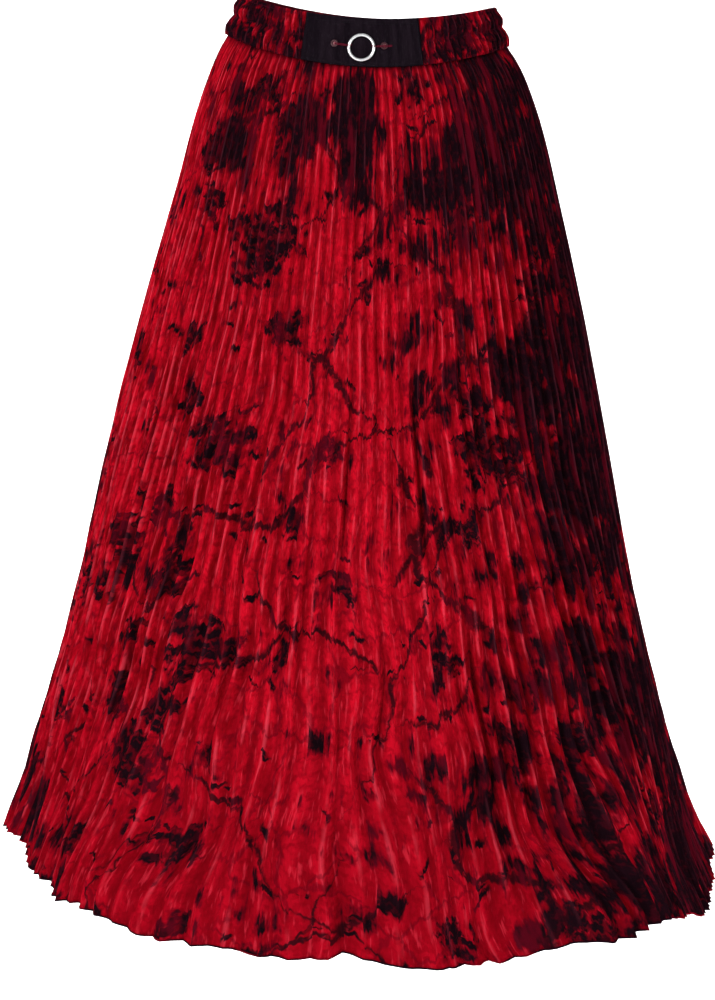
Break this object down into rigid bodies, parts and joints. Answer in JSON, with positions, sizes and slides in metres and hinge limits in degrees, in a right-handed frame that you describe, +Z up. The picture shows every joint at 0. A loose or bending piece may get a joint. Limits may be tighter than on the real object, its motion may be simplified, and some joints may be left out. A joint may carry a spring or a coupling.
{
  "type": "pleated skirt",
  "caption": "Long flared skirt in sharp fine pleats, worn and hollow, on a gathered elastic waistband with a plain front panel and a round metal ring.",
  "frame": {"origin": "the middle of the waist opening, level with the middle of the waistband at the sides", "axes": "+Z up, out of the waist; -Y is the front with the ring; +X is on the right seen from the front"},
  "size_m": [0.7415, 0.6815, 0.9184],
  "materials": {
    "printed_satin": "pleated satin chiffon, crimson with a near-black floral print",
    "gathered_print": "the same print, gathered on elastic",
    "plain_black": "matt woven charcoal black",
    "polished_metal": "polished round wire",
    "red_enamel": "dark red, glossy"
  },
  "bodies": {
    "root": {"skirt_front": "printed_satin", "skirt_back": "printed_satin", "waistband_elastic": "gathered_print", "waistband_front": "plain_black", "ring": "polished_metal", "eyelet_left": "red_enamel", "eyelet_right": "red_enamel"}
  },
  "joints": []
}
